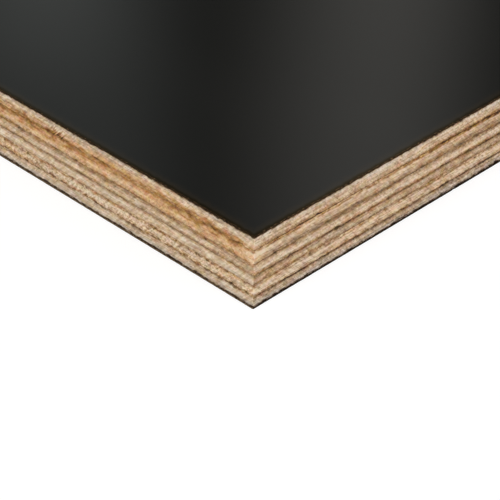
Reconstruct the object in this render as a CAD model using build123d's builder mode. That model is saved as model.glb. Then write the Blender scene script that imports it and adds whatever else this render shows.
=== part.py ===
"""A sheet of film-faced plywood, lying flat as it is stored.

Six thick softwood veneers are bonded with their grain along, across, along, along, across and
along the sheet, and a black resin film is pressed on each face. The whole lay-up is sawn to size
in one cut, so every layer ends flush at all four edges.

Millimetres, +Z up. The origin is at the middle of the underside. X runs along the sheet, which is
the direction of the face grain.
"""

from build123d import *
import os

# The sheet as it is sawn
sheet_length = 2440.0
sheet_width = 1220.0

# The films with the resin that bonds them
top_film_thickness = 0.5
bottom_film_thickness = 0.5

# The veneers after pressing, which squeezes each one differently
face_veneer_thickness = 3.3
upper_crossband_thickness = 3.3
upper_core_thickness = 2.7
lower_core_thickness = 2.4
lower_crossband_thickness = 2.7
back_veneer_thickness = 2.6

# The lay-up from the underside up: each layer lies on the one before it
layup = [
    ("bottom_film", bottom_film_thickness),
    ("back_veneer", back_veneer_thickness),
    ("crossband_lower", lower_crossband_thickness),
    ("core_veneer_lower", lower_core_thickness),
    ("core_veneer_upper", upper_core_thickness),
    ("crossband_upper", upper_crossband_thickness),
    ("face_veneer", face_veneer_thickness),
    ("top_film", top_film_thickness),
]

os.makedirs("parts", exist_ok=True)

layer_base = 0.0
for layer_name, layer_thickness in layup:
    with BuildPart() as layer:
        with BuildSketch(Plane.XY.offset(layer_base)):
            Rectangle(sheet_length, sheet_width)
        extrude(amount=layer_thickness)
    layer.part.label = layer_name
    export_step(layer.part, f"parts/{layer_name}.step")
    layer_base += layer_thickness

sheet_thickness = layer_base
print("sheet thickness", round(sheet_thickness, 3))
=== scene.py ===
"""Looks of a sheet of film-faced plywood, one corner of it seen close from above.

Every layer of the sheet gets a mesh whose sawn edges have real relief: plies set back by hundredths
of a millimetre, saw chatter, torn grain and chipped film. The colours are procedural. Names that
end in _MM hold millimetres, and the scene itself is in metres.
"""

import math
from collections import namedtuple

import bpy
import numpy as np
from mathutils import Matrix, Vector
from mathutils.geometry import delaunay_2d_cdt


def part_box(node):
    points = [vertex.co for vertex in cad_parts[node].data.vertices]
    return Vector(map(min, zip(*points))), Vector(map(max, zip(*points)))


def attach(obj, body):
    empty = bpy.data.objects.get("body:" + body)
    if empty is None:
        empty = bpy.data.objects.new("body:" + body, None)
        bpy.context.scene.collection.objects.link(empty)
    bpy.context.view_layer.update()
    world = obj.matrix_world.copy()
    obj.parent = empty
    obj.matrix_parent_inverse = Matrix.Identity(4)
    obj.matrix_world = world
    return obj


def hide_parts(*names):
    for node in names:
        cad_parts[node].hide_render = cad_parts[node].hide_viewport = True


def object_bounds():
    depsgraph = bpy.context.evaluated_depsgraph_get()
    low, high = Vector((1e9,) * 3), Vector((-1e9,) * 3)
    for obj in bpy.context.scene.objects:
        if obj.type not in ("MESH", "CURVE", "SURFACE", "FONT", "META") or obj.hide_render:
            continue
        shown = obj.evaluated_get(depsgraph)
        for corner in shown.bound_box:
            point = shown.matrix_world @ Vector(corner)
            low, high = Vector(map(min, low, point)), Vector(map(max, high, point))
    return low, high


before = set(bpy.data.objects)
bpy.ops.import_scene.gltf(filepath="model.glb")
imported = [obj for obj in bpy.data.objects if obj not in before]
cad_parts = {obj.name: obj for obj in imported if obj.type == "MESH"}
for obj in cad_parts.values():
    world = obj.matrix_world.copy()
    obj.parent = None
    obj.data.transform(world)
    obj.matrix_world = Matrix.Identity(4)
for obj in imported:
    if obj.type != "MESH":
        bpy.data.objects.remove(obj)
cad_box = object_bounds()

MM = 0.001

# The sheet's size from the frame, and the way all round its outline
HALF_LENGTH_MM = cad_box[1].x / MM
HALF_WIDTH_MM = cad_box[1].y / MM
LENGTH_MM = 2 * HALF_LENGTH_MM
WIDTH_MM = 2 * HALF_WIDTH_MM
ROUND_MM = 2 * (LENGTH_MM + WIDTH_MM)

# The lay-up from the underside up, and the veneers that lie across the sheet
VENEERS = [
    "back_veneer",
    "crossband_lower",
    "core_veneer_lower",
    "core_veneer_upper",
    "crossband_upper",
    "face_veneer",
]
CROSSBANDS = ("crossband_lower", "crossband_upper")


def levels_mm(node):
    """The heights of a layer's underside and top."""
    low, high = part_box(node)
    return low.z / MM, high.z / MM


VENEER_LEVELS_MM = [levels_mm(node) for node in VENEERS]
JOINT_LEVELS_MM = [VENEER_LEVELS_MM[0][0]] + [high for _, high in VENEER_LEVELS_MM]

# Smooth value noise for the relief, the same on every run
HASH_FACTORS = (374761393, 668265263, 974634777)
HASH_MIX = 1274126177
HASH_BITS = 0xFFFFFFFF
HASH_SHIFTS = (13, 16)
LATTICE_STEPS = 0xFFFF
OCTAVE_SEED = 31


def lattice(i, j, seed):
    """A value from 0 to 1 for each whole-numbered place."""
    h = (i * HASH_FACTORS[0] + j * HASH_FACTORS[1] + seed * HASH_FACTORS[2]) & HASH_BITS
    h = ((h ^ (h >> HASH_SHIFTS[0])) * HASH_MIX) & HASH_BITS
    return ((h ^ (h >> HASH_SHIFTS[1])) & LATTICE_STEPS) / LATTICE_STEPS


def ease(t):
    """0 to 1 with a soft start and end."""
    return t * t * (3 - 2 * t)


def smoothstep(low, high, x):
    """0 below low and 1 above high, eased between them."""
    return ease(np.clip((x - low) / (high - low), 0, 1))


def value_noise(u, w, seed):
    """Noise from 0 to 1 with features about one unit across."""
    i, j = np.floor(u).astype(np.int64), np.floor(w).astype(np.int64)
    a, b = ease(u - i), ease(w - j)
    low = lattice(i, j, seed) * (1 - a) + lattice(i + 1, j, seed) * a
    high = lattice(i, j + 1, seed) * (1 - a) + lattice(i + 1, j + 1, seed) * a
    return low * (1 - b) + high * b


def fractal(u, w, seed, octaves):
    """Noise from 0 to 1 with features from one unit across down to ever finer and weaker ones."""
    total, weight = 0.0, 0.0
    for k in range(octaves):
        total = total + value_noise(u * 2**k, w * 2**k, seed + OCTAVE_SEED * k) / 2**k
        weight += 1 / 2**k
    return total / weight


# Stations round the sheet's outline, anticlockwise from the corner at -X, -Y. They are close
# together at the corner that the camera looks at and wider apart the further they are from it.
CORNER_SIGNS = ((-1, -1), (1, -1), (1, 1), (-1, 1))
NEAR_CORNER = 1
NEAR_STEP_MM = 0.28
NEAR_REACH_MM = 90.0
CORNER_STEP_MM = 0.8
CORNER_REACH_MM = 12.0
WIDEST_STEP_MM = 2.4
STEP_GROWTH = 0.06

# The rounding of the sheet's upright corners, the turns at which it has stations, and how far from
# a corner the other stations keep
ARRIS_MM = 0.4
ARRIS_TURNS_DEG = (0.0, 22.5, 45.0, 67.5, 90.0)
CORNER_CLEAR_MM = 1.5 * ARRIS_MM


def stations_between(length, near_first, near_last):
    """Distances along one side, graded towards its two corners."""

    def step(at):
        steps = [WIDEST_STEP_MM]
        for gap, near in ((at, near_first), (length - at, near_last)):
            fine, reach = (NEAR_STEP_MM, NEAR_REACH_MM) if near else (CORNER_STEP_MM, CORNER_REACH_MM)
            steps.append(fine + STEP_GROWTH * max(0.0, gap - reach))
        return min(steps)

    marks = [0.0]
    while marks[-1] < length:
        marks.append(marks[-1] + step(marks[-1]))
    marks = np.array(marks) * length / marks[-1]
    return marks[(marks > CORNER_CLEAR_MM) & (marks < length - CORNER_CLEAR_MM)]


def outline():
    """For each station: its place along the outline, its point and its outward direction."""
    corners = np.array(CORNER_SIGNS) * (HALF_LENGTH_MM, HALF_WIDTH_MM)
    stations = []
    start = 0.0
    for side in range(4):
        following = (side + 1) % 4
        first, last = corners[side], corners[following]
        length = np.linalg.norm(last - first)
        run = (last - first) / length
        out = np.array((run[1], -run[0]))
        for d in stations_between(length, side == NEAR_CORNER, following == NEAR_CORNER):
            stations.append((start + d, first + run * d, out))
        centre = last - ARRIS_MM * (out + run)
        for turn in ARRIS_TURNS_DEG:
            t = math.radians(turn)
            direction = math.cos(t) * out + math.sin(t) * run
            along = start + length + (turn / 45 - 1) * ARRIS_MM
            stations.append((along, centre + ARRIS_MM * direction, direction))
        start += length
    return [np.array(values) for values in zip(*stations)]


ALONG_MM, OUTLINE_MM, OUTWARD = outline()
AROUND = len(ALONG_MM)

# How far each station is from the nearest corner
CORNERS_ALONG_MM = (0.0, LENGTH_MM, LENGTH_MM + WIDTH_MM, ROUND_MM - WIDTH_MM, ROUND_MM)
TO_CORNER_MM = np.min([np.abs(ALONG_MM - at) for at in CORNERS_ALONG_MM], axis=0)

# The rings of points inside the outline: how far in the first one lies, how many times further in
# each next one is, how far in the last may be, as a share of half the sheet's width, and how far
# apart a ring's points are, as a multiple of how far in it lies
FIRST_RING_MM = 5.0
RING_GROWTH = 1.9
LAST_RING = 0.9
RING_SPACING = 1.8

# What the triangulation gives, which is triangles inside the outline, and its tolerance
TRIANGLES_INSIDE = 1
TOLERANCE_MM = 1e-6


def inner_rings():
    """Points inside the outline, on rings that get coarser towards the middle."""
    points = []
    inset = FIRST_RING_MM
    while inset < HALF_WIDTH_MM * LAST_RING:
        half_x, half_y = HALF_LENGTH_MM - inset, HALF_WIDTH_MM - inset
        count_x, count_y = [max(2, round(2 * half / (RING_SPACING * inset))) for half in (half_x, half_y)]
        for k in range(count_x):
            x = -half_x + 2 * half_x * k / count_x
            points += [(x, -half_y), (-x, half_y)]
        for k in range(count_y):
            y = -half_y + 2 * half_y * k / count_y
            points += [(half_x, y), (-half_x, -y)]
        inset *= RING_GROWTH
    return np.array(points)


def cap_triangles():
    """Triangles of a flat face that fills the outline, as numbers of its stations and inner points."""
    points = [Vector(point) for point in np.concatenate([OUTLINE_MM, INNER_MM])]
    rim = [(i, (i + 1) % AROUND) for i in range(AROUND)]
    _, _, faces, origins, _, _ = delaunay_2d_cdt(points, rim, [], TRIANGLES_INSIDE, TOLERANCE_MM)
    return np.array([[origins[i][0] for i in face] for face in faces])


INNER_MM = inner_rings()
CAP = cap_triangles()

# The baking map: the edge is folded into rows, and the faces lie above them
MAP_PIXELS = 1024
MAP_MARGIN = 3 / MAP_PIXELS
MAP_RUN = 1 - 2 * MAP_MARGIN
MAP_GAP = 2 / MAP_PIXELS


def unfold_edge(shares, fold_count, fold_height):
    """Map places of the edge's quads: stations run along a row, and heights go up it."""
    fold_mm = ROUND_MM / fold_count
    overhang = WIDEST_STEP_MM / fold_mm
    starts, ends = ALONG_MM, np.append(ALONG_MM[1:], ALONG_MM[0] + ROUND_MM)
    fold = np.minimum(((starts + ends) / 2 / fold_mm).astype(int), fold_count - 1)
    left, right = [
        MAP_MARGIN + MAP_RUN * ((at - fold * fold_mm) / fold_mm + overhang) / (1 + 2 * overhang)
        for at in (starts, ends)
    ]
    base = MAP_MARGIN + fold * (fold_height + MAP_GAP)
    places = []
    for low_share, high_share in zip(shares, shares[1:]):
        low, high = base + low_share * fold_height, base + high_share * fold_height
        quad = [(left, low), (right, low), (right, high), (left, high)]
        places.append(np.stack([np.stack(place, 1) for place in quad], 1))
    return np.concatenate(places).reshape(-1, 2)


def edge_quads(rows):
    """The quads between the rings of stations, as numbers of points."""
    ring = np.arange(AROUND)
    after = (ring + 1) % AROUND
    quad = np.stack([ring, after, after + AROUND, ring + AROUND], 1)
    return np.concatenate([quad + row * AROUND for row in range(rows - 1)])


def cap_faces(ring_at, inner_at):
    """A flat face's triangles, given where its stations and its inner points begin."""
    return np.where(CAP < AROUND, CAP + ring_at, CAP - AROUND + inner_at)


def layer_mesh(name, heights_mm, depth_mm, fold_count, fold_height, upper_share):
    """A closed slab: an edge of len(heights_mm) rings of stations, and two flat faces.

    depth_mm[row, station] is how far the edge lies inside the sheet's outline. upper_share is how
    much of the map's room for faces the upper one gets. The piece comes with how many of its faces
    are the edge's, which are the first ones.
    """
    rows, inner = len(heights_mm), len(INNER_MM)
    rings = np.empty((rows, AROUND, 3))
    rings[:, :, :2] = OUTLINE_MM - OUTWARD * depth_mm[:, :, None]
    rings[:, :, 2] = heights_mm[:, None]
    low = np.c_[INNER_MM, np.full(inner, heights_mm[0])]
    high = np.c_[INNER_MM, np.full(inner, heights_mm[-1])]
    vertices = np.concatenate([rings.reshape(-1, 3), low, high])
    edge = edge_quads(rows)
    under = cap_faces(0, rows * AROUND)[:, ::-1]
    upper = cap_faces((rows - 1) * AROUND, rows * AROUND + inner)
    mesh = bpy.data.meshes.new(name)
    mesh.from_pydata((vertices * MM).tolist(), [], edge.tolist() + under.tolist() + upper.tolist())
    mesh.polygons.foreach_set("use_smooth", np.arange(len(mesh.polygons)) < len(edge))
    # The depth, as the attribute recess, which the veneers' materials read to paint shade into the hollows
    recess = mesh.attributes.new("recess", "FLOAT", "POINT")
    values = np.concatenate([depth_mm.ravel(), np.zeros(2 * inner)])
    recess.data.foreach_set("value", values.astype(np.float32))

    shares = (heights_mm - heights_mm[0]) / (heights_mm[-1] - heights_mm[0])
    maps = [unfold_edge(shares, fold_count, fold_height)]
    room_from = 2 * MAP_MARGIN + fold_count * (fold_height + MAP_GAP)
    room = 1 - MAP_MARGIN - room_from
    for cap, base, height in (
        (under, room_from, room * (1 - upper_share) - MAP_GAP),
        (upper, room_from + room * (1 - upper_share), room * upper_share),
    ):
        at = vertices[cap.ravel(), :2] / (LENGTH_MM, WIDTH_MM) + 0.5
        maps.append(np.stack([MAP_MARGIN + MAP_RUN * at[:, 0], base + height * at[:, 1]], 1))
    layer = mesh.uv_layers.new(name="OFBake")
    layer.uv.foreach_set("vector", np.concatenate(maps).astype(np.float32).ravel())
    mesh.update()
    piece = bpy.data.objects.new(name, mesh)
    bpy.context.scene.collection.objects.link(piece)
    return piece, len(edge)


# One kind of relief on the sawn edges: how deep it is, how long and high its features are, and the
# seed and the octaves of its noise. The sizes are in millimetres, but for the heights on a film,
# which are shares of its thickness.
Relief = namedtuple("Relief", "deep_mm size seed octaves")

# The relief of a veneer, which is set back by a little more or less along the edge
SET_BACK_MM = 0.03
SWING = Relief(0.02, (60.0, 1.0), seed=0, octaves=1)
CHATTER = Relief(0.05, (1.1, 4.0), seed=11, octaves=2)
FUZZ = Relief(0.06, (0.6, 0.7), seed=12, octaves=2)
TORN = Relief(0.2, (2.6, 0.9), seed=13, octaves=3)

# Between which values of its noise the grain is torn, and how much fuzz is left where the edge runs
# with the grain
TORN_FROM_TO = (0.62, 0.8)
FUZZ_WITH_GRAIN = 0.6

# How much a veneer's rims are rounded, and how steeply
ROUNDING_MM = 0.01
ROUNDING_POWER = 14

# The relief of a film, and how softly its chips begin
FILM_SET_BACK_MM = 0.01
RAGGED = Relief(0.05, (0.9, 1 / 0.7), seed=0, octaves=3)
CHIPS = Relief(0.2, (1.6, 1 / 0.4), seed=1, octaves=3)
CHIP_SOFTNESS = 0.12

# How much of the relief is left at the corners, and how far from them it grows to all of it
CALMEST = 0.25
CALM_FROM_TO_MM = (0.3, 3.0)
CALM = CALMEST + (1 - CALMEST) * smoothstep(*CALM_FROM_TO_MM, TO_CORNER_MM)

# The stations whose outward direction has more than this along X are those of the ends
END_FACING = 0.7

# The rings of a veneer's edge, as shares of its thickness, and how many rings a film's edge has
ROW_SHARES = np.array([0.0, 0.07, 0.2, 0.35, 0.5, 0.65, 0.8, 0.93, 1.0])
FILM_ROWS = 4


def pattern(kind, height, seed=0):
    """The noise of one kind of relief, from 0 to 1, for each height and station."""
    length_mm, feature_height = kind.size
    return fractal(ALONG_MM / length_mm, height / feature_height, kind.seed + seed, kind.octaves)


def veneer_depth(node, seed, heights_mm):
    """How far a veneer's sawn edge lies inside the outline, for each height and station.

    The saw's marks run on from one veneer into the next.
    """
    z = heights_mm[:, None]
    on_end = np.abs(OUTWARD[:, 0]) > END_FACING
    end_grain = on_end != (node in CROSSBANDS)
    set_back = SET_BACK_MM + SWING.deep_mm * pattern(SWING, np.zeros(1), seed)
    chatter = CHATTER.deep_mm * pattern(CHATTER, z)
    fuzz = FUZZ.deep_mm * pattern(FUZZ, z) * np.where(end_grain, 1.0, FUZZ_WITH_GRAIN)
    torn = TORN.deep_mm * smoothstep(*TORN_FROM_TO, pattern(TORN, z))
    rounding = ROUNDING_MM * ((1 - ROW_SHARES) ** ROUNDING_POWER + ROW_SHARES**ROUNDING_POWER)
    return set_back + (chatter + fuzz + torn) * CALM + rounding[:, None]


def film_depth(seed, chip_share, worn_mm):
    """The same for a film, whose cut edge is straight but for small chips.

    worn_mm is how much the arris is worn off: the lower one if it is positive, else the upper one.
    """
    share = np.linspace(0, 1, FILM_ROWS)[:, None]
    ragged = RAGGED.deep_mm * pattern(RAGGED, share, seed)
    chipped_from = 1 - chip_share
    chips = smoothstep(chipped_from, chipped_from + CHIP_SOFTNESS, pattern(CHIPS, share, seed))
    worn = abs(worn_mm) * (1 - share if worn_mm > 0 else share) ** 2
    return FILM_SET_BACK_MM + worn + (ragged + CHIPS.deep_mm * chips) * CALM


# Which sockets of a mix node hold its two values and its result
MIX_SOCKETS = {"FLOAT": (2, 3, 0), "RGBA": (6, 7, 2)}

# How far a seed of one shifts a noise, along and up
SEED_SHIFTS = (17.3, 5.1)


class Nodes:
    """Builds the node tree of a material or world. Sockets and plain values can be mixed freely."""

    def __init__(self, owner):
        owner.use_nodes = True
        self.tree = owner.node_tree

    def feed(self, socket, value):
        if isinstance(value, bpy.types.NodeSocket):
            self.tree.links.new(value, socket)
        else:
            socket.default_value = value

    def node(self, kind, *values, **settings):
        """A node with these settings, whose first sockets get the values."""
        made = self.tree.nodes.new(kind)
        for name, setting in settings.items():
            setattr(made, name, setting)
        for socket, value in zip(made.inputs, values):
            self.feed(socket, value)
        return made

    def result(self, kind, *values, **settings):
        """The first output of such a node."""
        return self.node(kind, *values, **settings).outputs[0]

    def place(self, kind):
        return self.node("ShaderNodeTexCoord").outputs[kind]

    def by_ray(self, kind, otherwise, shader):
        """The shader for this kind of ray, and the first one for all others."""
        is_kind = self.node("ShaderNodeLightPath").outputs[kind]
        return self.result("ShaderNodeMixShader", is_kind, otherwise, shader)

    def math(self, operation, *values):
        return self.result("ShaderNodeMath", *values, operation=operation)

    def add(self, *values):
        total = values[0]
        for value in values[1:]:
            total = self.math("ADD", total, value)
        return total

    def times(self, *values):
        total = values[0]
        for value in values[1:]:
            total = self.math("MULTIPLY", total, value)
        return total

    def minus(self, a, b):
        return self.math("SUBTRACT", a, b)

    def span(self, value, low, high, to_low=0.0, to_high=1.0, smooth=True):
        """Maps low..high to to_low..to_high, held at both ends."""
        course = "SMOOTHSTEP" if smooth else "LINEAR"
        return self.result("ShaderNodeMapRange", value, low, high, to_low, to_high, interpolation_type=course)

    def window(self, value, begins, full, fades, ends):
        """1 between full and fades, and 0 outside begins and ends."""
        return self.times(self.span(value, begins, full), self.span(value, fades, ends, 1.0, 0.0))

    def around(self, value, middle, full, gone):
        """1 up to full away from the middle, and 0 from gone on."""
        return self.span(self.math("ABSOLUTE", self.minus(value, middle)), full, gone, 1.0, 0.0)

    def blend(self, share, a, b, kind="FLOAT"):
        """a where share is 0 and b where it is 1."""
        first, second, mixed = MIX_SOCKETS[kind]
        made = self.node("ShaderNodeMix", share, data_type=kind)
        self.feed(made.inputs[first], a)
        self.feed(made.inputs[second], b)
        return made.outputs[mixed]

    def blend_colour(self, share, a, b):
        return self.blend(share, a, b, "RGBA")

    def ramp(self, value, stops):
        made = self.node("ShaderNodeValToRGB", value)
        elements = made.color_ramp.elements
        while len(elements) > 1:
            elements.remove(elements[-1])
        elements[0].position, elements[0].color = stops[0]
        for position, colour in stops[1:]:
            elements.new(position).color = colour
        return made.outputs[0]

    def noise(self, u, w, size_mm, seed, detail=2.0, roughness=0.5):
        """Noise about 0, mostly from -0.25 to 0.25, with features about as long and high as size_mm."""
        at = [
            self.add(self.times(value, 1 / size), shift * seed)
            for value, size, shift in zip((u, w), size_mm, SEED_SHIFTS)
        ]
        made = self.node("ShaderNodeTexNoise", noise_dimensions="2D")
        for name, value in (
            ("Vector", self.result("ShaderNodeCombineXYZ", *at)),
            ("Scale", 1.0),
            ("Detail", detail),
            ("Roughness", roughness),
        ):
            self.feed(made.inputs[name], value)
        return self.minus(made.outputs["Fac"], 0.5)


class Surface(Nodes):
    """A material with one Principled shader, and the place on the sheet in millimetres."""

    def __init__(self, name):
        self.material = bpy.data.materials.new(name)
        super().__init__(self.material)
        self.shader = self.tree.nodes["Principled BSDF"]
        scaled = self.node("ShaderNodeVectorMath", self.place("Object"), operation="SCALE")
        self.feed(scaled.inputs["Scale"], 1 / MM)
        self.x, self.y, self.z = self.node("ShaderNodeSeparateXYZ", scaled.outputs[0]).outputs

        # How far inside the sheet's ends and long edges that place is
        self.to_end = self.minus(HALF_LENGTH_MM, self.math("ABSOLUTE", self.x))
        self.to_side = self.minus(HALF_WIDTH_MM, self.math("ABSOLUTE", self.y))

    def shade(self, colour, roughness, gloss):
        self.feed(self.shader.inputs["Base Color"], colour)
        self.feed(self.shader.inputs["Roughness"], roughness)
        self.feed(self.shader.inputs["Specular IOR Level"], gloss)

    def bump(self, height, distance_mm, strength):
        made = self.node("ShaderNodeBump")
        self.feed(made.inputs["Strength"], strength)
        self.feed(made.inputs["Distance"], distance_mm * MM)
        self.feed(made.inputs["Height"], height)
        self.feed(self.shader.inputs["Normal"], made.outputs[0])


# One kind of mark on the sawn edges: how long and high its features are, the seed of its noise, how
# strongly it shows on the long edges and on the ends, and the noise's detail and roughness
Marks = namedtuple("Marks", "size_mm seed strength detail roughness", defaults=((1.0, 1.0), 2.0, 0.5))


class SawnEdge(Surface):
    """A material of the sawn edges.

    along is the place along the outline in millimetres, as the stations have it. on_end is 1 on the
    two ends and 0 on the long edges.
    """

    def __init__(self, name):
        super().__init__(name)
        self.on_end = self.math("LESS_THAN", self.to_end, self.to_side)
        long_edge = self.blend(
            self.math("GREATER_THAN", self.y, 0.0),
            self.add(HALF_LENGTH_MM, self.x),
            self.minus(LENGTH_MM + WIDTH_MM + HALF_LENGTH_MM, self.x),
        )
        end_edge = self.blend(
            self.math("GREATER_THAN", self.x, 0.0),
            self.minus(ROUND_MM - HALF_WIDTH_MM, self.y),
            self.add(LENGTH_MM + HALF_WIDTH_MM, self.y),
        )
        self.along = self.either(long_edge, end_edge)

    def either(self, on_long_edges, on_ends):
        return self.blend(self.on_end, on_long_edges, on_ends)

    def marks(self, kind, seed=0.0, lean=None):
        """The noise of one kind of marks, which lean over by so many millimetres for each one up."""
        along = self.along if lean is None else self.add(self.along, self.times(self.z, lean))
        return self.noise(along, self.z, kind.size_mm, kind.seed + seed, kind.detail, kind.roughness)

    def shown(self, kind, marks, *factors):
        """Marks of this kind, as strong as they show."""
        return self.times(marks, self.either(*kind.strength), *factors)

    def sway(self, long_mm, seed, detail=2.0):
        """Noise that changes along the edge only."""
        return self.noise(self.along, 0.0, (long_mm, 1.0), seed, detail)


def linear(r, g, b):
    """A colour written as 0 to 255 screen values, as Blender's linear one."""
    parts = [v / 255 for v in (r, g, b)]
    return tuple(v / 12.92 if v <= 0.04045 else ((v + 0.055) / 1.055) ** 2.4 for v in parts) + (1.0,)


# The tones that the wood runs through, from glue to pale early wood: the usual beige, and the
# orange tan of stained or resin-soaked wood
BEIGE = [
    (0.0, linear(52, 38, 27)),
    (0.25, linear(110, 87, 64)),
    (0.5, linear(156, 131, 103)),
    (0.75, linear(195, 171, 143)),
    (1.0, linear(226, 208, 184)),
]
TAN = [
    (0.0, linear(58, 34, 16)),
    (0.25, linear(123, 84, 42)),
    (0.5, linear(170, 125, 76)),
    (0.75, linear(210, 168, 124)),
    (1.0, linear(236, 204, 164)),
]

# How a veneer looks on the sheet's long edges and on its ends: how pale it is at its bottom and at
# its top, how warm it is there, from beige at 0 to tan at 1, and how rough the saw has left it
LOOKS = {
    "back_veneer": ((0.66, 0.86, -0.1, -0.05, 0.9), (0.75, 0.68, -0.1, 0.05, 1.2)),
    "crossband_lower": ((0.81, 0.89, 0.25, 0.2, 1.25), (0.84, 0.97, 0.25, 0.2, 1.4)),
    "core_veneer_lower": ((0.76, 0.94, 0.15, 0.0, 0.8), (0.77, 0.76, 0.2, 0.2, 0.95)),
    "core_veneer_upper": ((0.80, 0.81, 0.0, 0.15, 0.85), (1.02, 0.75, 0.3, 0.2, 0.95)),
    "crossband_upper": ((0.82, 0.74, 0.45, 0.5, 0.8), (0.44, 1.14, 0.3, 0.3, 1.0)),
    "face_veneer": ((0.74, 0.75, 0.4, 0.3, 1.05), (0.67, 0.90, 0.45, 0.25, 1.1)),
}

# Growth rings, the fibres that show where the edge runs with the grain, the pores that show where
# it cuts across, blotches, saw marks, dark specks of painted shade in pits and pale torn specks
RINGS = Marks((30.0, 0.5), 0.11, (0.35, 0.6), detail=3.0)
FIBRES = Marks((2.6, 0.34), 0.23, (0.55, 0.55), roughness=0.55)
PORES = Marks((0.65, 0.5), 0.31, (0.55, 0.55), roughness=0.55)
BLOTCHES = Marks((4.0, 1.4), 0.47, (0.35, 0.5), detail=3.0)
SAW_MARKS = Marks((0.75, 2.2), 40.0, (0.65, 0.5), roughness=0.6)
SHADED_PITS = Marks((1.0, 0.5), 0.71, (-0.24, -0.18))
SPECKS = Marks((0.9, 0.5), 0.83, (0.18, 0.18))

# Between which values of their noise the painted pit shade and the specks come up
SHADED_PITS_FROM_TO = (0.13, 0.25)
SPECKS_FROM_TO = (0.11, 0.24)

# How far the saw marks lean for each millimetre of height, towards the near corner on both edges
# that meet there, and how little they differ from one veneer to the next
SAW_LEAN = (-0.9, 0.9)
SAW_SEED_STEP = 0.1

# Lathe checks, the slanting cracks that peeling leaves: how far apart they are, how far they lean
# and bend, how wide they are as a share of their spacing, where they break off and how dark the shade painted
# into them is
CHECKS_APART_MM = 1.7
CHECK_LEAN = 0.8
CHECK_BEND = Marks((4.0, 1.5), 0.53)
CHECK_BEND_MM = 1.6
CHECK_WIDTH = 0.06
CHECK_BREAKS = Marks((1.5, 1.0), 0.61)
CHECK_BREAKS_FROM_TO = (-0.05, 0.1)
CHECK_PAINTED_SHADE = 0.2

# How deep a hollow begins to get painted shade and where that shade is darkest, and how dark it gets
HOLLOW_SHADE_FROM_TO_MM = (0.14, 0.4)
HOLLOW_PAINTED_SHADE = 0.2

# How the warmth drifts, coarsely and finely, and how hue and saturation vary
COARSE_DRIFT = Marks((11.0, 2.6), 0.91, detail=3.0)
FINE_DRIFT = Marks((1.9, 1.0), 0.97)
DRIFT = 1.1
HUES = Marks((2.2, 1.1), 0.41)
HUES_VARY = 0.08
SATURATIONS = Marks((1.6, 0.9), 0.43)
SATURATIONS_VARY = 0.5

# Up to how far from the films the wood is greyer, how ragged that limit is, and how much greyer
GREYER_FROM_TO_MM = (0.5, 1.3)
GREYER_RAGGED = Marks((3.0, 1.0), 0.99)
GREYER_RAGGED_MM = 0.8
GREYER = 0.55

# Wood that is colder than beige is greyer: between which values of its warmth, and how saturated
# it is there
COLD_FROM_TO = (-0.6, 0.0, 0.68, 1.0)

# How much glue, a veil of resin and a stain warm the wood, how much the veil evens out its grain
# and how much the stain darkens it
GLUE_WARMS = 0.8
VEIL_WARMS = 0.5
STAIN_WARMS = 0.3
VEIL_EVENS = 0.35
STAIN_DARKENS = 0.27

# How rough the surfaces are where their noise is low and where it is high, and how strongly they
# mirror, with the film's face and then its worn rim
LOW_AND_HIGH_NOISE = (-0.2, 0.2)
WOOD_ROUGHNESS = (0.7, 0.88)
FILM_ROUGHNESS = (0.118, 0.142)
CUT_FILM_ROUGHNESS = (0.7, 0.9)
WOOD_GLOSS = 0.2
CUT_FILM_GLOSS = 0.05
FILM_GLOSS = (0.5, 0.4)

# The glue lines from the bottom one up, on the long edges and on the ends: how far above the joint
# the dark line lies, how dark it is, half its width, both in millimetres, and how broken it is
GLUE_LINES = [
    ((0.02, 0.36, 0.66, 0.5), (-0.12, 0.42, 0.56, 0.25)),
    ((-0.29, 0.37, 0.56, 0.25), (-0.1, 0.36, 0.80, 0.3)),
    ((-0.04, 0.38, 0.66, 0.15), (0.04, 0.50, 0.66, 0.15)),
    ((-0.23, 0.34, 0.90, 0.2), (-0.2, 0.26, 0.53, 0.25)),
    ((0.0, 0.10, 0.60, 0.5), (-0.22, 0.52, 0.58, 0.35)),
]

# The resin lines where the films are bonded, in the same terms
BOTTOM_FILM_LINES = ((0.1, 0.60, 0.40, 0.5), (0.12, 0.62, 0.36, 0.5))
TOP_FILM_LINES = ((0.0, 0.58, 0.30, 0.5), (0.0, 0.75, 0.32, 0.5))

# How a line fades away from its middle, core and halo: from and to how many half widths, and how
# dark it is at first and at last
GLUE_CORE = (0.0, 1.3, 0.85, 0.0)
GLUE_HALO = (0.4, 2.6, 0.22, 0.0)

# How a line wanders up and down and how its width swells, and over what lengths
GLUE_WANDER_MM = 0.45
GLUE_WANDER_LONG_MM = 14.0
GLUE_SWELL = 0.6
GLUE_SWELL_LONG_MM = 3.2
GLUE_SWELL_SEED = 0.53

# The patches that break it: from which to which value of their noise, and how much they take from
# it or add
GLUE_PATCHES = Marks((1.5, 0.8), 0.37, detail=3.0)
GLUE_PATCHES_FROM_TO = (-0.16, 0.16, -1.0, 1.0)


def glue_line(g, level_mm, looks, seed):
    """How dark a glue line makes the wood. Both veneers that share the line work out the same."""
    offset, dark, half_width, broken = [g.either(a, b) for a, b in zip(*looks)]
    wander = g.times(g.sway(GLUE_WANDER_LONG_MM, seed, detail=3.0), GLUE_WANDER_MM)
    gap = g.math("ABSOLUTE", g.minus(g.minus(g.z, level_mm), g.add(offset, wander)))
    swell = g.add(1.0, g.times(g.sway(GLUE_SWELL_LONG_MM, seed + GLUE_SWELL_SEED), GLUE_SWELL))
    reach = g.math("DIVIDE", gap, g.times(half_width, swell))
    patches = g.span(g.marks(GLUE_PATCHES, seed), *GLUE_PATCHES_FROM_TO)
    strength = g.add(1.0, g.times(patches, broken))
    return g.times(g.add(g.span(reach, *GLUE_CORE), g.span(reach, *GLUE_HALO)), strength, dark)


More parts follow.
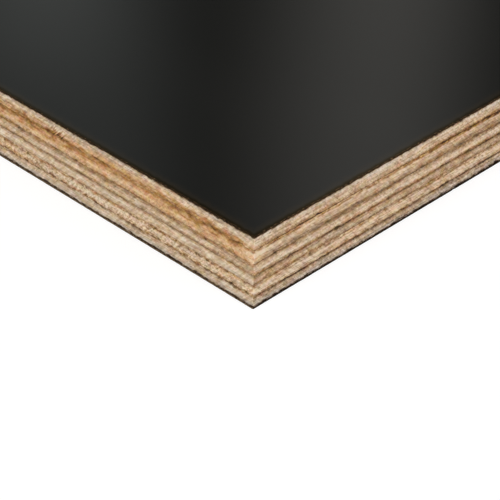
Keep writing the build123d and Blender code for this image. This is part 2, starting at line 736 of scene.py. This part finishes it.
# The stain round the uppermost glue line of the front long edge: its level, the distances from the
# near corner between which it comes up to full strength, and how strong it is at first
STAIN_LEVEL_MM = 14.2
STAIN_FROM_TO_MM = (1.0, 8.0)
STAIN_AT_FIRST = 0.6

# How far from the near corner it is thin, how far to both sides of that it is thinnest and no longer
# thin, how much weaker its band is there and how much higher it lies
STAIN_THIN_MM = 36.0
STAIN_THIN_REACH_MM = (4.0, 16.0)
STAIN_THINNED = 0.45
STAIN_THIN_LIFT_MM = 0.4

# How far above that level its warm veil and its dark band begin, are full, fade and end
VEIL_MM = (-3.4, -1.0, 0.8, 2.4)
BAND_MM = (-2.2, -0.2, 0.3, 2.2)

# How ragged its limits are, and its blots: between which values of their noise they come up, and how
# dark the band is without and with them
STAIN_RAGGED = Marks((3.0, 1.3), 72.0, detail=3.0)
STAIN_RAGGED_MM = 2.4
STAIN_BLOTS = Marks((2.8, 1.2), 73.0)
STAIN_BLOTS_FROM_TO = (-0.15, 0.15, 0.6, 1.4)

# Between which distances from the near corner it becomes patchy, which is also how far the resin on
# the end reaches, over what length it then comes and goes, and how, in the same terms as the blots
FAR_FROM_TO_MM = (150.0, 400.0)
PATCHES_MM = 160.0
PATCHES_SEED = 71.0
PATCHES_FROM_TO = (-0.12, 0.1, 0.35, 1.0)

# How far a little of it runs round the corner, between which heights it rises and ends there, how
# much of it is left at the top, how warm it is and how much paler
RUN_ROUND_MM = (0.5, 5.5)
RUN_ROUND_RISES_MM = (9.0, 12.5)
RUN_ROUND_ENDS_MM = (15.2, 16.6)
RUN_ROUND_LEFT = 0.1
RUN_ROUND_VEIL = 0.7
RUN_ROUND_PALER = 0.5

# A patch of torn grain in it: how far from the near corner and how high it lies, how far from there
# it is full and gone, along and up, and its strokes, in the same terms as the saw marks and blots
TORN_PATCH_MM = (58.5, 15.3)
TORN_PATCH_LONG_MM = (1.2, 3.2)
TORN_PATCH_HIGH_MM = (0.5, 1.8)
TORN_STROKES = Marks((0.7, 3.0), 74.0, detail=1.0)
TORN_STROKES_LEAN = -0.9
TORN_STROKES_FROM_TO = (-0.12, 0.12, -0.7, 1.2)

# The distances from the near corner between which resin comes to fill the same joint on the end,
# its level, how far above and below that it is full and gone, how much of the raggedness it has and
# how warm it is
RESIN_FROM_TO_MM = (32.0, 66.0)
RESIN_LEVEL_MM = 14.1
RESIN_HALF_MM = (0.15, 0.75)
RESIN_RAGGED = 0.3
RESIN_VEIL = 0.6

# The heights between which the veneer below it is darker too, and how much
DIM_MM = (10.9, 11.6, 12.9, 13.6)
DIM_DARK = 0.45


def torn_patch(g, from_corner):
    """How dark the strokes of a patch of torn grain are."""
    at_mm, level_mm = TORN_PATCH_MM
    long = g.around(from_corner, at_mm, *TORN_PATCH_LONG_MM)
    high = g.around(g.z, level_mm, *TORN_PATCH_HIGH_MM)
    strokes = g.marks(TORN_STROKES, lean=TORN_STROKES_LEAN)
    return g.times(long, high, g.span(strokes, *TORN_STROKES_FROM_TO))


def stain(g):
    """How warm resin has stained the wood, and how dark."""
    from_corner = g.minus(LENGTH_MM, g.along)
    front = g.times(g.minus(1.0, g.on_end), g.math("LESS_THAN", g.y, 0.0))
    reach = g.span(from_corner, *STAIN_FROM_TO_MM, STAIN_AT_FIRST, 1.0)
    patchy = g.span(g.sway(PATCHES_MM, PATCHES_SEED), *PATCHES_FROM_TO)
    near = g.span(from_corner, *FAR_FROM_TO_MM, 1.0, 0.0)
    extent = g.times(front, reach, g.math("MAXIMUM", near, patchy))
    thin = g.around(from_corner, STAIN_THIN_MM, *STAIN_THIN_REACH_MM)
    ragged = g.times(g.marks(STAIN_RAGGED), STAIN_RAGGED_MM)
    above = g.add(g.minus(g.z, STAIN_LEVEL_MM), ragged, g.times(g.minus(1.0, thin), STAIN_THIN_LIFT_MM))
    veil = g.times(g.window(above, *VEIL_MM), extent)
    blots = g.span(g.marks(STAIN_BLOTS), *STAIN_BLOTS_FROM_TO)
    band = g.times(g.window(above, *BAND_MM), g.minus(1.0, g.times(thin, STAIN_THINNED)), blots, extent)
    round_corner = g.times(
        g.around(from_corner, 0.0, *RUN_ROUND_MM),
        g.span(g.z, *RUN_ROUND_RISES_MM),
        g.span(g.z, *RUN_ROUND_ENDS_MM, 1.0, RUN_ROUND_LEFT),
    )
    torn = g.times(torn_patch(g, from_corner), front)

    # On the end
    past_corner = g.minus(g.along, LENGTH_MM)
    filled = g.times(g.window(past_corner, *RESIN_FROM_TO_MM, *FAR_FROM_TO_MM), g.on_end)
    wavy = g.add(g.z, g.times(ragged, RESIN_RAGGED))
    resin = g.times(g.around(wavy, RESIN_LEVEL_MM, *RESIN_HALF_MM), filled)
    dim = g.times(g.window(g.z, *DIM_MM), filled)

    veil = g.math("MAXIMUM", veil, g.times(round_corner, RUN_ROUND_VEIL))
    veil = g.math("MAXIMUM", veil, g.times(resin, RESIN_VEIL))
    dark = g.add(
        band,
        g.times(round_corner, -RUN_ROUND_PALER),
        torn,
        g.times(resin, blots),
        g.times(dim, DIM_DARK),
    )
    return veil, dark


def lathe_checks(g, seed):
    """Where the cracks are, which show only where the edge cuts across the grain."""
    bend = g.times(g.marks(CHECK_BEND, seed), CHECK_BEND_MM)
    bent = g.add(g.along, g.times(g.z, CHECK_LEAN), bend)
    cells = g.node("ShaderNodeTexVoronoi", voronoi_dimensions="1D", feature="DISTANCE_TO_EDGE")
    g.feed(cells.inputs["W"], g.times(bent, 1 / CHECKS_APART_MM))
    g.feed(cells.inputs["Scale"], 1.0)
    crack = g.span(cells.outputs["Distance"], 0.0, CHECK_WIDTH, 1.0, 0.0)
    return g.times(crack, g.span(g.marks(CHECK_BREAKS, seed), *CHECK_BREAKS_FROM_TO))


def veneer_material(node, seed, low_mm, high_mm, joints):
    """The sawn edge of a veneer between two glue lines."""
    g = SawnEdge(node)
    share = g.span(g.z, low_mm, high_mm, smooth=False)
    pale_low, pale_high, warm_low, warm_high, rough = [g.either(a, b) for a, b in zip(*LOOKS[node])]
    pale, warm = g.blend(share, pale_low, pale_high), g.blend(share, warm_low, warm_high)
    veil, stained = stain(g)
    rough = g.times(rough, g.minus(1.0, g.times(veil, VEIL_EVENS)))
    end_grain = g.minus(1.0, g.on_end) if node in CROSSBANDS else g.on_end
    grain = g.blend(end_grain, g.marks(FIBRES, seed), g.marks(PORES, seed))
    saw_marks = g.marks(SAW_MARKS, SAW_SEED_STEP * seed, lean=g.either(*SAW_LEAN))
    glue = g.add(*[glue_line(g, *joint) for joint in joints])
    hollow = g.node("ShaderNodeAttribute", attribute_name="recess").outputs["Fac"]

    tone = g.add(
        pale,
        g.shown(RINGS, g.marks(RINGS, seed)),
        g.shown(FIBRES, grain, rough),
        g.shown(SAW_MARKS, saw_marks, rough),
        g.shown(BLOTCHES, g.marks(BLOTCHES, seed)),
        # Dark specks of painted shade in pits
        g.shown(SHADED_PITS, g.span(g.marks(SHADED_PITS, seed), *SHADED_PITS_FROM_TO), rough),
        g.shown(SPECKS, g.span(g.marks(SPECKS, seed), *SPECKS_FROM_TO), rough),
    )
    for darkening in (
        # Painted shade in the lathe checks, on end grain only
        g.times(lathe_checks(g, seed), end_grain, CHECK_PAINTED_SHADE),
        glue,
        g.times(stained, STAIN_DARKENS),
        # Painted shade in the hollows of the relief, deeper ones darker
        g.span(hollow, *HOLLOW_SHADE_FROM_TO_MM, 0.0, HOLLOW_PAINTED_SHADE),
    ):
        tone = g.minus(tone, darkening)

    drift = g.add(g.marks(COARSE_DRIFT, seed), g.marks(FINE_DRIFT, seed))
    warm = g.add(
        warm,
        g.times(drift, DRIFT),
        g.times(glue, GLUE_WARMS),
        g.times(veil, VEIL_WARMS),
        g.times(stained, STAIN_WARMS),
    )
    to_film = g.math("MINIMUM", g.minus(JOINT_LEVELS_MM[-1], g.z), g.minus(g.z, JOINT_LEVELS_MM[0]))
    to_film = g.add(to_film, g.times(g.marks(GREYER_RAGGED, seed), GREYER_RAGGED_MM))
    warm = g.minus(warm, g.span(to_film, *GREYER_FROM_TO_MM, GREYER, 0.0))
    wood = g.blend_colour(g.span(warm, 0.0, 1.0, smooth=False), g.ramp(tone, BEIGE), g.ramp(tone, TAN))
    grey = g.span(warm, *COLD_FROM_TO, smooth=False)
    tint = g.node("ShaderNodeHueSaturation")
    g.feed(tint.inputs["Hue"], g.add(0.5, g.times(g.marks(HUES, seed), HUES_VARY)))
    g.feed(tint.inputs["Saturation"], g.add(grey, g.times(g.marks(SATURATIONS, seed), SATURATIONS_VARY)))
    g.feed(tint.inputs["Color"], wood)
    g.shade(tint.outputs[0], g.span(grain, *LOW_AND_HIGH_NOISE, *WOOD_ROUGHNESS), WOOD_GLOSS)
    g.bump(g.add(grain, saw_marks), distance_mm=0.05, strength=0.5)
    return g.material


# The film's two blacks, the dust near its rim, and the dark and pale of the worn rim itself
FILM_BLACKS = [(0.3, linear(9, 9, 8)), (0.7, linear(13, 13, 12))]
FILM_DUST = linear(30, 23, 11)
FILM_WORN = (linear(4, 3, 1), linear(18, 12, 4))
WHITE = (1.0, 1.0, 1.0, 1.0)

# What the worn rim mirrors is warmer, because its resin is thin
WORN_SHEEN = (1.0, 0.6, 0.0, 1.0)

# How large its cloudy patches, its pressed grain, the fraying of its rim and the mottling are, and
# how pale the mottled rim is on average and how much that varies
FILM_CLOUDS_MM = (700.0, 90.0)
FILM_GRAIN_MM = (60.0, 2.4)
FILM_FRAY_MM = (1.4, 1.4)
FILM_MOTTLE_MM = (1.6, 1.6)
MOTTLE_PALE = 0.4
MOTTLE_VARIES = 1.6

# How far from the rim dust and wear reach and end, and how ragged their limits are
DUST_FROM_TO_MM = (0.6, 2.6)
DUST_RAGGED_MM = 1.6
WORN_FROM_TO_MM = (0.35, 1.0)
WORN_RAGGED_MM = 0.7

# The tones of the film's sawn edge, and the size of its chips
CUT_FILM = [(0.4, linear(14, 9, 4)), (0.75, linear(54, 38, 20)), (1.0, linear(116, 94, 68))]
CUT_CHIPS = Marks((0.7, 0.2), 6.0, (1.2, 1.2), detail=3.0)


def film_material():
    """The smooth pressed face: black resin with a satin gloss, frayed by the saw at its rim."""
    g = Surface("film")
    clouds = g.noise(g.x, g.y, FILM_CLOUDS_MM, seed=3.0, detail=3.0)
    grain = g.noise(g.x, g.y, FILM_GRAIN_MM, seed=4.0, detail=3.0)
    frayed = g.noise(g.x, g.y, FILM_FRAY_MM, seed=5.0, detail=3.0)
    mottled = g.noise(g.x, g.y, FILM_MOTTLE_MM, seed=6.0)
    to_rim = g.math("MINIMUM", g.to_end, g.to_side)
    dusty = g.span(g.add(to_rim, g.times(frayed, DUST_RAGGED_MM)), *DUST_FROM_TO_MM, 1.0, 0.0)
    worn = g.span(g.add(to_rim, g.times(frayed, WORN_RAGGED_MM)), *WORN_FROM_TO_MM, 1.0, 0.0)
    pale = g.span(g.add(MOTTLE_PALE, g.times(mottled, MOTTLE_VARIES)), 0.0, 1.0, smooth=False)
    colour = g.blend_colour(dusty, g.ramp(g.add(0.5, clouds), FILM_BLACKS), FILM_DUST)
    colour = g.blend_colour(worn, colour, g.blend_colour(pale, *FILM_WORN))
    roughness = g.span(clouds, *LOW_AND_HIGH_NOISE, *FILM_ROUGHNESS)
    g.shade(colour, roughness, g.blend(worn, *FILM_GLOSS))
    g.feed(g.shader.inputs["Specular Tint"], g.blend_colour(worn, WHITE, WORN_SHEEN))
    g.bump(grain, distance_mm=0.01, strength=0.1)
    return g.material


def cut_film_material(name, paleness):
    """The film's sawn edge: dull, brown black, with paler chips.

    paleness holds how pale it is on the long edges and on the ends.
    """
    g = SawnEdge(name)
    chips = g.marks(CUT_CHIPS)
    colour = g.ramp(g.add(g.either(*paleness), g.shown(CUT_CHIPS, chips)), CUT_FILM)
    g.shade(colour, g.span(chips, *LOW_AND_HIGH_NOISE, *CUT_FILM_ROUGHNESS), CUT_FILM_GLOSS)
    g.bump(chips, distance_mm=0.04, strength=0.5)
    return g.material


# How many rows the edge of a layer is folded into on the map, and how high each row is
VENEER_FOLDS = 40
VENEER_FOLD_HEIGHT = 20 / MAP_PIXELS
FILM_FOLDS = 24
FILM_FOLD_HEIGHT = 5 / MAP_PIXELS

# The joints from the bottom one up: level, looks and seed
FIRST_JOINT_SEED = 9.0
joint_looks = [BOTTOM_FILM_LINES] + GLUE_LINES + [TOP_FILM_LINES]
joint_seeds = [FIRST_JOINT_SEED + i for i in range(len(joint_looks))]
joints = list(zip(JOINT_LEVELS_MM, joint_looks, joint_seeds))

# The veneers, each between two joints. Their numbers, from 1 at the bottom, give their seeds.
RELIEF_SEED_STEP = 100
for number, (node, (low, high)) in enumerate(zip(VENEERS, VENEER_LEVELS_MM), start=1):
    heights = low + (high - low) * ROW_SHARES
    depth = veneer_depth(node, RELIEF_SEED_STEP * number, heights)
    piece, _ = layer_mesh(node + "_edges", heights, depth, VENEER_FOLDS, VENEER_FOLD_HEIGHT, upper_share=0.5)
    below_and_above = joints[number - 1 : number + 1]
    piece.data.materials.append(veneer_material(node, float(number), low, high, below_and_above))
    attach(piece, "root")
    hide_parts(node)

# The films: the seed, the share of the edge that is chipped, the wear of the arris, the share of the
# map's room that the upper face gets, and the paleness of the cut edge
Film = namedtuple("Film", "seed chip_share worn_mm upper_share paleness")
FILMS = {
    "bottom_film": Film(seed=900, chip_share=0.14, worn_mm=0.08, upper_share=0.2, paleness=(0.9, 0.58)),
    "top_film": Film(seed=950, chip_share=0.2, worn_mm=-0.04, upper_share=0.8, paleness=(0.62, 0.69)),
}
film_face = film_material()
for node, film in FILMS.items():
    heights = np.linspace(*levels_mm(node), FILM_ROWS)
    depth = film_depth(film.seed, film.chip_share, film.worn_mm)
    piece, edge_faces = layer_mesh(
        node + "_skin", heights, depth, FILM_FOLDS, FILM_FOLD_HEIGHT, film.upper_share
    )
    piece.data.materials.append(film_face)
    piece.data.materials.append(cut_film_material(node + "_cut", film.paleness))
    is_edge = np.arange(len(piece.data.polygons)) < edge_faces
    piece.data.polygons.foreach_set("material_index", is_edge.astype(np.int32))
    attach(piece, "root")
    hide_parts(node)

# The floor: white to the camera, with the sheet's soft shadow, and evenly white further away
FLOOR_HALF_M = 60.0
FLOOR_BELOW_MM = 0.02
PALE_GREY = (0.8, 0.8, 0.8, 1.0)
DARK_GREY = (0.3, 0.3, 0.3, 1.0)

# Between which distances from the middle it gets whiter, and how brightly it glows there
WHITER_FROM_TO_M = (1.5, 7.0)
FLOOR_GLOW = (0.76, 0.93)


def floor_material():
    """Pale paper. To the camera it is a darker one that glows, so that the shadow stays faint."""
    material = bpy.data.materials.new("floor")
    n = Nodes(material)
    n.tree.nodes.clear()
    from_middle = n.node("ShaderNodeVectorMath", n.place("Object"), operation="LENGTH").outputs["Value"]
    glow = n.result("ShaderNodeEmission", WHITE, n.span(from_middle, *WHITER_FROM_TO_M, *FLOOR_GLOW))
    seen = n.result("ShaderNodeAddShader", n.result("ShaderNodeBsdfDiffuse", DARK_GREY), glow)
    paper = n.result("ShaderNodeBsdfDiffuse", PALE_GREY)
    n.node("ShaderNodeOutputMaterial", n.by_ray("Is Camera Ray", paper, seen))
    return material


floor_mesh = bpy.data.meshes.new("floor")
floor_corners = [(x * FLOOR_HALF_M, y * FLOOR_HALF_M, -FLOOR_BELOW_MM * MM) for x, y in CORNER_SIGNS]
floor_mesh.from_pydata(floor_corners, [], [(0, 1, 2, 3)])
floor = bpy.data.objects.new("floor", floor_mesh)
floor_mesh.materials.append(floor_material())
bpy.context.scene.collection.objects.link(floor)

# The camera looks down on the corner at +X, -Y. AIM_RIGHT_MM and AIM_UP_MM are how far the picture's
# middle lies from that corner of the top film's underside.
VIEW_AZIMUTH_DEG = 44.263
VIEW_ELEVATION_DEG = 35.418
VIEW_ROLL_DEG = 0.897
DISTANCE_MM = 413.97
LENS_MM = 152.09
SENSOR_MM = 36.0
AIM_RIGHT_MM = -0.823
AIM_UP_MM = -2.241


def towards(azimuth, elevation):
    """The direction from the sheet that an azimuth from the front and an elevation give, in radians."""
    level = math.cos(elevation)
    return Vector((math.sin(azimuth) * level, -math.cos(azimuth) * level, math.sin(elevation)))


azimuth = math.radians(VIEW_AZIMUTH_DEG)
roll = math.radians(VIEW_ROLL_DEG)
back = towards(azimuth, math.radians(VIEW_ELEVATION_DEG))
right = Vector((math.cos(azimuth), math.sin(azimuth), 0.0))
up = back.cross(right)
right, up = math.cos(roll) * right + math.sin(roll) * up, math.cos(roll) * up - math.sin(roll) * right
corner = Vector((HALF_LENGTH_MM, -HALF_WIDTH_MM, levels_mm("top_film")[0]))
eye = (corner + back * DISTANCE_MM + right * AIM_RIGHT_MM + up * AIM_UP_MM) * MM

camera_data = bpy.data.cameras.new("camera")
camera_data.lens = LENS_MM
camera_data.sensor_width = SENSOR_MM
camera = bpy.data.objects.new("camera", camera_data)
camera.matrix_world = Matrix.Translation(eye) @ Matrix((right, up, back)).transposed().to_4x4()
bpy.context.scene.collection.objects.link(camera)
bpy.context.scene.camera = camera

# The studio: an even pale room. The film mirrors a row of soft upright panels all round it. The two
# beyond the corner are each given by the turns, in degrees to the right of straight ahead, where
# they begin, are brightest and end. These, their brightness and that of the dark between them go
# from one value to another with height.
ROOM_LIGHT = 0.36
LOW_AND_HIGH_DEG = (28.5, 31.5)
DARK_STRENGTH = (0.034, 0.056)
DARK_COLOUR = (1.0, 1.0, 0.88, 1.0)
OTHER_PANELS_FROM_TO_DEG = (16.0, 40.0)
OTHER_PANELS_APART_DEG = 22.0
OTHER_PANELS_STRENGTH = (0.015, 0.10)
OTHER_PANELS_COLOUR = (1.0, 0.99, 0.96, 1.0)
LEFT_PANEL = ((-11.5, -22.0), (-6.4, -4.6), (-1.3, -0.9))
LEFT_STRENGTH = (0.49, 0.23)
LEFT_COLOUR = (0.97, 1.03, 1.0, 1.0)
RIGHT_PANEL = ((-1.1, -2.4), (4.3, 4.3), (8.4, 8.6))
RIGHT_STRENGTH = (0.47, 0.49)
RIGHT_COLOUR = (1.02, 1.0, 0.94, 1.0)


def panel(n, turn, rise, turns, strength):
    """How bright one panel is."""
    begins, brightest, ends = [n.span(rise, *LOW_AND_HIGH_DEG, *pair) for pair in turns]
    across = n.times(n.span(turn, begins, brightest), n.span(turn, brightest, ends, 1.0, 0.0))
    return n.times(across, n.span(rise, *LOW_AND_HIGH_DEG, *strength))


def other_panels(n, turn):
    """How bright the panels at the sides and behind the camera are."""
    sideways = n.span(n.math("ABSOLUTE", turn), *OTHER_PANELS_FROM_TO_DEG)
    wave = n.math("COSINE", n.times(turn, 2 * math.pi / OTHER_PANELS_APART_DEG))
    return n.times(sideways, n.span(wave, -1.0, 1.0, *OTHER_PANELS_STRENGTH))


def studio():
    """What lights the sheet, what its film mirrors and the white that the camera sees beyond it."""
    world = bpy.data.worlds.new("studio")
    n = Nodes(world)
    n.tree.nodes.clear()
    east, north, height = n.node("ShaderNodeSeparateXYZ", n.place("Generated")).outputs
    ahead_x, ahead_y = -math.sin(azimuth), math.cos(azimuth)
    ahead = n.add(n.times(east, ahead_x), n.times(north, ahead_y))
    aside = n.add(n.times(east, ahead_y), n.times(north, -ahead_x))
    turn = n.times(n.math("ARCTAN2", aside, ahead), math.degrees(1.0))
    rise = n.times(n.math("ARCSINE", height), math.degrees(1.0))
    lights = (
        (DARK_COLOUR, n.span(rise, *LOW_AND_HIGH_DEG, *DARK_STRENGTH)),
        (OTHER_PANELS_COLOUR, other_panels(n, turn)),
        (LEFT_COLOUR, panel(n, turn, rise, LEFT_PANEL, LEFT_STRENGTH)),
        (RIGHT_COLOUR, panel(n, turn, rise, RIGHT_PANEL, RIGHT_STRENGTH)),
    )
    shades = [n.result("ShaderNodeBackground", colour, light) for colour, light in lights]
    mirrored = shades[0]
    for shade in shades[1:]:
        mirrored = n.result("ShaderNodeAddShader", mirrored, shade)
    room = n.result("ShaderNodeBackground", PALE_GREY, ROOM_LIGHT)
    lit = n.by_ray("Is Glossy Ray", room, mirrored)
    seen = n.by_ray("Is Camera Ray", lit, n.result("ShaderNodeBackground", WHITE))
    n.node("ShaderNodeOutputWorld", seen)
    return world


bpy.context.scene.world = studio()


def lamp(name, azimuth_deg, elevation_deg, distance_m, size_m, watts, colour):
    """A soft square lamp aimed at the corner that the camera looks at."""
    data = bpy.data.lights.new(name, "AREA")
    data.shape = "SQUARE"
    data.size = size_m
    data.energy = watts
    data.color = colour
    made = bpy.data.objects.new(name, data)
    outward = towards(math.radians(azimuth_deg), math.radians(elevation_deg))
    made.location = corner * MM + outward * distance_m
    made.rotation_euler = outward.to_track_quat("Z", "Y").to_euler()
    bpy.context.scene.collection.objects.link(made)


lamp("key", 5.0, 38.0, distance_m=6.0, size_m=3.0, watts=235.0, colour=(1.0, 1.01, 1.0))
lamp("fill", 95.0, 30.0, distance_m=6.0, size_m=4.0, watts=170.0, colour=(1.0, 0.98, 1.0))

bpy.context.scene.view_settings.view_transform = "Standard"
